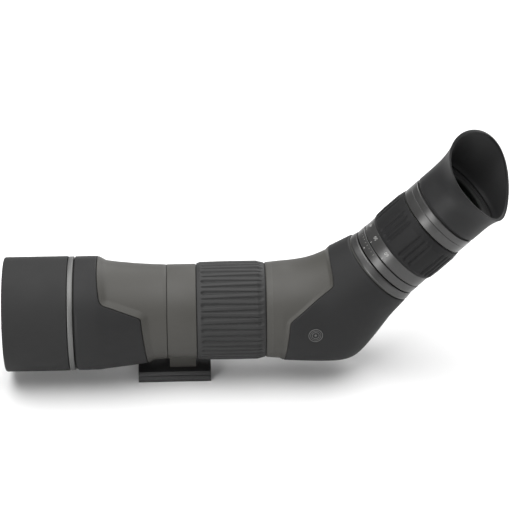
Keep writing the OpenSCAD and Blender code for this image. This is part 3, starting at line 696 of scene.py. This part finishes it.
def build_badge(armour):
    """A blank dark disc with raised bright rings, set on the armour's skin."""
    co = np.array([v.co for v in frame["nodes"]["badge"].data.vertices]) / MM
    centre = (co.min(0) + co.max(0)) / 2
    normal = np.linalg.svd(co - co.mean(0))[2][2]
    face = Line(centre, normal if normal[1] < 0 else -normal, (1, 0, 0))
    radius = np.linalg.norm(co - centre, axis=1).max()
    above, depth, stand, ring_rise = 3.0, 1.2, 0.35, 0.3
    starts = [Vector(face.at(above, share * radius, a) * MM)
              for share in (0.5, 0.95) for a in np.arange(8) / 8 * TURN]
    hits = [armour.ray_cast(start, Vector(-face.along)) for start in starts]
    skin = max((np.array(h[1]) / MM - centre) @ face.along for h in hits if h[0])
    low, high = skin - depth, skin + stand
    plate = high - ring_rise
    disc = [(0, low), (radius - 0.5, low), (radius - 0.4, plate, 0.15), (0, plate)]
    turned("badge_skin", face, BODY_OF["badge"], "inner_metal", LOOKS["inner_metal"], disc,
           nodes=("badge",), around=96)
    for k, (inside, outside) in enumerate(((radius - 0.85, radius - 0.4), (2.1, 2.5),
                                           (3.3, 3.6), (0.0, 0.8))):
        ring = [(inside, plate - 0.2), (outside, plate - 0.2), (outside, high - 0.05, 0.1),
                (inside, high - 0.05, 0.1 if inside else 0)]
        turned(f"badge_ring_{k}", face, BODY_OF["badge"], "ring_metal", LOOKS["ring_metal"],
               ring, around=96)


build_rear_housing()
build_badge(build_rear_armour())


# ---- tripod collar, foot and lock knob ----


def softened(node, width, segments=3, edge_angle=32):
    """The CAD node's shape with its sharp edges broken."""
    work = bmesh.new()
    work.from_mesh(frame["nodes"][node].data)
    bmesh.ops.remove_doubles(work, verts=work.verts, dist=2e-6)
    bmesh.ops.dissolve_limit(work, angle_limit=math.radians(0.5), verts=work.verts,
                             edges=work.edges)
    sharp = [e for e in work.edges
             if e.is_manifold and e.calc_face_angle(0) > math.radians(edge_angle)]
    bmesh.ops.bevel(work, geom=sharp, offset=width * MM, segments=segments, profile=0.6,
                    affect="EDGES", clamp_overlap=True)
    bmesh.ops.triangulate(work, faces=[f for f in work.faces if len(f.verts) > 4])
    mesh = bpy.data.meshes.new(node + "_skin")
    work.to_mesh(mesh)
    work.free()
    mesh.shade_smooth()
    mesh.set_sharp_from_angle(angle=math.radians(30))
    piece = bpy.data.objects.new(node + "_skin", mesh)
    bpy.context.scene.collection.objects.link(piece)
    mesh.materials.append(look(node))
    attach(piece, BODY_OF[node])
    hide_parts(node)
    return piece


softened("tripod_collar", 0.15)
softened("tripod_foot", 0.4)
softened("lock_knob", 0.35)


def build_flange():
    front, back, bore, _ = barrel.reach("housing_flange")
    neck, spigot_r = SHELL_FRONT - 0.02, START_R - 1.9
    turned_for("housing_flange", barrel,
               [(bore, front), (START_R - 0.75, front, 0.1), (START_R - 0.3, front + 0.5, 0.5),
                (START_R, neck, 0), (spigot_r, neck, 0.1), (spigot_r, back), (bore, back)])


def build_dust_seals():
    """Dark rings that fill the seams beside the collar and the focus ring."""
    housing_back = barrel.reach("front_housing")[1]
    collar_front = barrel.reach("collar_liner")[0] - 0.4
    collar_back = barrel.reach("collar_liner")[1] + 0.4
    focus_front, focus_back = barrel.reach("focus_grip")[:2]
    flange_front = barrel.reach("housing_flange")[0]
    bore, gap = 28.6, 0.06
    for name, low, high, out in (
            ("front_seal", housing_back, collar_front - gap, 31.6),
            ("collar_seal", collar_back + gap, focus_front - gap, 31.5),
            ("flange_seal", focus_back + gap, flange_front, 31.6)):
        turned(name, barrel, BODY_OF["front_housing"], "seal_rubber", LOOKS["seal_rubber"],
               [(bore, low), (out, low), (out, high), (bore, high)], fillet=0.05)


build_flange()
build_dust_seals()


# ---- eyepiece rings ----


def build_eyepiece_base():
    front, back, bore, out = eyepiece.reach("eyepiece_base")
    shoulder = SHELL_END + 0.2
    turned_for("eyepiece_base", eyepiece,
               [(bore, front), (bore + 0.8, front), (bore + 0.8, shoulder), (out, shoulder, 0.3),
                (out, shoulder + 1.1, 0.5), (out - 0.65, back - 0.7, 1.0),
                (out - 1.1, back - 0.1, 0.3), (out - 1.1, back), (bore, back)])


def build_scale_ring():
    front, back, bore, out = eyepiece.reach("scale_ring")
    turned_for("scale_ring", eyepiece,
               [(bore, front), (out - 0.35, front, 0.1), (out, front + 0.35, 0.15),
                (out, back - 0.35, 0.15), (out - 0.35, back, 0.1), (bore, back)])


def build_zoom_ring():
    front, back, bore, out = eyepiece.reach("zoom_ring_core")
    grip_front, _, grip_bore, _ = eyepiece.reach("zoom_grip")
    turned_for("zoom_ring_core", eyepiece,
               [(bore, front), (out - 0.35, front, 0.1), (out, front + 0.35, 0.15),
                (out, grip_front - 0.45, 0.15), (out - 0.35, grip_front - 0.1, 0.1),
                (grip_bore, grip_front - 0.1), (grip_bore, back), (bore, back)])


def grouped_flutes(groups, spacing, half, depth, start, stop, fade):
    """Long flutes round the grip in groups of three, with plain pads between groups."""

    def relief(t, angle, r):
        place = np.mod(angle - FLUTE_START, TURN / groups) - TURN / groups / 2
        off = np.min([np.abs(place - k * spacing) for k in (-1, 0, 1)], axis=0) * r
        share = np.clip((t - start) / (stop - start), 0, 1)
        ends = smoothstep(0, fade, np.minimum(t - start, stop - t))
        wide = half * (1 - 0.35 * share) * (0.4 + 0.6 * ends)
        return -depth * ends * (1 - 0.4 * share) * np.clip(1 - (off / wide) ** 2, 0, 1) ** 1.5

    return relief


FLUTE_GROUPS = 8
FLUTE_START = math.radians(12)


def build_zoom_grip():
    front, back, bore, out = eyepiece.reach("zoom_grip")
    valleys = grouped_flutes(FLUTE_GROUPS, math.radians(9.5), half=2.0, depth=1.15,
                             start=front + 1.8, stop=back - 2.4, fade=2.6)

    def relief(t, angle, r):
        return np.where(r > out - 1.25, valleys(t, angle, r), 0)

    turned_for("zoom_grip", eyepiece,
               [(bore, front), (out - 1.3, front, 0.2), (out - 0.6, front + 2, 1.6),
                (out - 0.3, front + 8, 4), (out - 0.4, back - 5, 4), (out - 1.2, back, 0.4),
                (bore, back)],
               around=576, step=0.7, relief=relief, sharp=70)


def build_top_ring():
    front, back, bore, out = eyepiece.reach("top_ring")
    line, line_half, line_depth = front + 0.585 * (back - front), 0.25, 0.3
    pocket = eyepiece.reach("eyecup_sleeve")[0] - 0.5
    lip = eyepiece.reach("eyecup_insert")[2] + 0.35
    turned_for("top_ring", eyepiece,
               [(bore, front), (out - 0.4, front, 0.1), (out, front + 0.4, 0.2),
                (out, line - line_half, 0.05), (out - line_depth, line, 0.1),
                (out, line + line_half, 0.05), (out, back - 0.35, 0.15),
                (out - 0.4, back, 0.1), (lip, back, 0.1), (lip, pocket), (bore, pocket)],
               fillet=0.1)


def build_bezel():
    front, back, bore, out = eyepiece.reach("eyepiece_bezel")

    thread_pitch, thread_depth = 0.4, 0.1

    def threads(t, _, r):
        cone = (r > bore + 0.2) & (r < bore + 2.2) & (t > front + 0.6)
        return np.where(cone, thread_depth * np.sin(t / thread_pitch * TURN), 0)

    turned_for("eyepiece_bezel", eyepiece,
               [(bore, front), (out, front), (out, back - 0.4, 0.2), (out - 0.4, back, 0.2),
                (out - 2.2, back - 0.1, 0.1), (out - 2.4, back - 0.4, 0.1),
                (bore + 2.5, back - 0.4, 0.2), (bore, front + 1.1, 0.2)],
               step=0.12, relief=threads, fillet=0.1)


build_eyepiece_base()
build_scale_ring()
build_zoom_ring()
build_zoom_grip()
build_top_ring()
build_bezel()


# ---- dial marks ----


def numeral_mesh(text, size):
    """Vertices in millimetres and faces of a short thick numeral, centred."""
    curve = bpy.data.curves.new("numeral", "FONT")
    curve.body = text
    curve.size = size
    curve.extrude = 0.05
    curve.align_x = "CENTER"
    curve.align_y = "CENTER"
    curve.resolution_u = 6
    holder = bpy.data.objects.new("numeral", curve)
    bpy.context.scene.collection.objects.link(holder)
    depsgraph = bpy.context.evaluated_depsgraph_get()
    mesh = bpy.data.meshes.new_from_object(holder.evaluated_get(depsgraph))
    verts = np.array([v.co for v in mesh.vertices])
    faces = [list(p.vertices) for p in mesh.polygons]
    bpy.data.objects.remove(holder)
    bpy.data.meshes.remove(mesh)
    return verts, faces


def bar_mesh(length, width, thick=0.05):
    """A small bar along v, with its corners broken."""
    u, v, c = width / 2, length / 2, min(width, length) * 0.2
    ring = [(-u, -v + c), (-u + c, -v), (u - c, -v), (u, -v + c), (u, v - c), (u - c, v),
            (-u + c, v), (-u, v - c)]
    verts = np.array([(x, y, z) for z in (-thick, thick) for x, y in ring])
    n = len(ring)
    sides = [[k, (k + 1) % n, n + (k + 1) % n, n + k] for k in range(n)]
    return verts, [list(range(n))[::-1], list(range(n, 2 * n)), *sides]


def marks_on(name, node, slot_name, radius, shapes, nodes=()):
    """Wraps flat shapes onto a ring. Each is (verts, faces, place, angle in degrees)."""
    verts, faces = [], []
    for flat, polys, place, degrees in shapes:
        angle = math.radians(degrees) - flat[:, 0] / radius
        faces += [[i + len(verts) for i in p] for p in polys]
        verts += eyepiece.at(place - flat[:, 1], radius + flat[:, 2], angle).tolist()
    finish_mesh(name, BODY_OF[node], slot_name, LOOKS[slot_name], verts, faces, 30, nodes)


def build_marks():
    front, _, _, out = eyepiece.reach("zoom_ring_core")
    grip_front = eyepiece.reach("zoom_grip")[0]
    place = (front + grip_front) / 2
    settings, last_angle, apart, size = ("20", "30", "40", "50", "60"), 237.5, 30, 3.2
    shapes = []
    for k, text in enumerate(settings):
        degrees = last_angle - apart * (len(settings) - 1 - k)
        shapes.append((*numeral_mesh(text, size), place + 0.9, degrees))
        shapes.append((*bar_mesh(1.1, 0.35), front + 1.2, degrees))
    marks_on("zoom_marks_skin", "zoom_marks", "mark_paint", out + 0.03, shapes, ("zoom_marks",))
    low, high, _, scale_out = eyepiece.reach("scale_ring")
    pointer_angle, tick_apart, long_tick, short_tick = 207.5, 6, 1.3, 0.8
    ticks = [(*bar_mesh(short_tick if k % 3 else long_tick, 0.22), high - 1.9,
              pointer_angle + tick_apart * k) for k in range(-5, 4)]
    ticks.append((*bar_mesh(0.8, 0.8), low + 1.5, pointer_angle))
    marks_on("scale_marks", "scale_ring", "mark_paint", scale_out - 0.02, ticks)


build_marks()


# ---- eyecup ----

# The rim rises from RIM_LOW along the axis to a wing at WING_SIDE, and its radius swings too.
RIM_LOW, WING_RISE, WING_SIDE, WING_POWER = 130.6, 26.4, math.radians(99), 1.75
RIM_MEAN, RIM_SWING, RIM_SIDE = 30.3, 2.6, WING_SIDE + math.radians(115)
FLARE_POWER = 2.2
LIP = 2.2
WALL, THINNING = 1.85, 0.3
CREASE_RISE = 3.4


def build_eyecup():
    front, _, throat, _ = eyepiece.reach("eyecup_rubber")
    bore = eyepiece.reach("eyecup_insert")[3] + 0.05
    ledge = eyepiece.reach("eyecup_sleeve")[1] + 0.4
    cup_r, flare_from = 26.7, front + 10
    angle = np.arange(288) / 288 * TURN
    wing = ((1 + np.cos(angle - WING_SIDE)) / 2) ** WING_POWER
    rim_t = RIM_LOW + WING_RISE * wing
    rim_r = RIM_MEAN + RIM_SWING * np.cos(angle - RIM_SIDE)

    def flare(share):
        return (cup_r + (rim_r - cup_r) * share**FLARE_POWER,
                flare_from + (rim_t - flare_from) * share)

    level = np.ones_like(angle)
    rows = [(r * level, (front + t) * level) for r, t in
            ((bore, 0.3), (bore + 0.15, 0), (cup_r - 0.4, 0), (cup_r - 0.1, 0.15), (cup_r, 0.5),
             (cup_r, 3), (cup_r, 6), (cup_r, 9))]
    rows += [flare(share) for share in np.linspace(0, 0.985, 44)]
    top_r, top_t = flare(1.0)
    rows += [(top_r - 0.1, top_t - 0.05), (top_r - 0.3, top_t), (top_r - LIP * 0.6, top_t - 0.05),
             (top_r - LIP, top_t - 0.25), (top_r - LIP - 0.1, top_t - 0.6),
             (top_r - LIP + 0.25, top_t - 1.0)]
    inner_from, crease = 0.95, (ledge + CREASE_RISE - flare_from) / (rim_t - flare_from)
    for step in np.linspace(0, 1, 36):
        r, t = flare(inner_from + (crease - inner_from) * step)
        rows.append((r - WALL + THINNING * step, t - 0.3 * (1 - step)))
    rows += [(r * level, (ledge + t) * level) for r, t in
             ((throat + 0.5, 1.2), (throat, 0.4), (throat + 0.1, 0), (bore, 0))]
    verts = np.array([eyepiece.at(t, r, angle) for r, t in rows]).reshape(-1, 3)
    finish_mesh("eyecup_rubber_skin", BODY_OF["eyecup_rubber"], SLOT_OF["eyecup_rubber"],
                look("eyecup_rubber"), verts, torus_faces(len(rows), len(angle)), 50,
                ("eyecup_rubber",))


build_eyecup()


# ---- floor, light and camera ----

VIEW_AZIMUTH, VIEW_ELEVATION = math.radians(-2.09), math.radians(30.5)
VIEW_DISTANCE = 1.4144
VIEW_LENS, SENSOR = 146.25, 36
AIM_ALONG, AIM_RAISE = 0.0553, 0.0364


def plain_material(name, colour, rough):
    material = bpy.data.materials.new(name)
    material.use_nodes = True
    shader = material.node_tree.nodes["Principled BSDF"]
    shader.inputs["Base Color"].default_value = (*colour, 1)
    shader.inputs["Roughness"].default_value = rough
    return material


def build_floor():
    half, albedo = 6.0, 0.78
    mesh = bpy.data.meshes.new("floor")
    mesh.from_pydata([(-half, -half, 0), (half, -half, 0), (half, half, 0), (-half, half, 0)],
                     [], [(0, 1, 2, 3)])
    mesh.materials.append(plain_material("pale_floor", (albedo, albedo, albedo), 0.8))
    floor = bpy.data.objects.new("floor", mesh)
    bpy.context.scene.collection.objects.link(floor)


def area_light(name, azimuth, elevation, distance, size, power, aim=(0.03, 0, 0.06)):
    """A soft oblong light aimed at the scope. Azimuth 0 is the camera's side."""
    data = bpy.data.lights.new(name, "AREA")
    data.shape = "RECTANGLE"
    data.size, data.size_y = size
    data.energy = power
    a, e = math.radians(azimuth), math.radians(elevation)
    back = Vector((math.sin(a) * math.cos(e), -math.cos(a) * math.cos(e), math.sin(e)))
    light = bpy.data.objects.new(name, data)
    light.location = Vector(aim) + back * distance
    light.rotation_mode = "QUATERNION"
    light.rotation_quaternion = (-back).to_track_quat("-Z", "Y")
    bpy.context.scene.collection.objects.link(light)


def build_light():
    world = bpy.data.worlds.new("studio")
    world.use_nodes = True
    background = world.node_tree.nodes["Background"]
    background.inputs["Color"].default_value = (1, 1, 1, 1)
    background.inputs["Strength"].default_value = 0.27
    bpy.context.scene.world = world
    area_light("key", -66, 80, 2.2, (2.8, 2.2), 86)
    area_light("back", 150, 34, 2.6, (2.4, 1.6), 46)
    area_light("accent", -36, 14, 1.7, (0.6, 0.9), 14)


def build_camera():
    data = bpy.data.cameras.new("camera")
    data.lens, data.sensor_width = VIEW_LENS, SENSOR
    data.clip_start, data.clip_end = 0.05, 50
    camera = bpy.data.objects.new("camera", data)
    back = Vector((math.sin(VIEW_AZIMUTH) * math.cos(VIEW_ELEVATION),
                   -math.cos(VIEW_AZIMUTH) * math.cos(VIEW_ELEVATION),
                   math.sin(VIEW_ELEVATION)))
    right = Vector((math.cos(VIEW_AZIMUTH), math.sin(VIEW_AZIMUTH), 0))
    up = back.cross(right)
    aim = Vector((AIM_ALONG, 0, AXIS_H * MM)) + up * AIM_RAISE
    camera.location = aim + back * VIEW_DISTANCE
    camera.rotation_mode = "QUATERNION"
    camera.rotation_quaternion = (-back).to_track_quat("-Z", "Y")
    bpy.context.scene.collection.objects.link(camera)
    bpy.context.scene.camera = camera


build_floor()
build_light()
build_camera()
bpy.context.scene.view_settings.view_transform = "Standard"
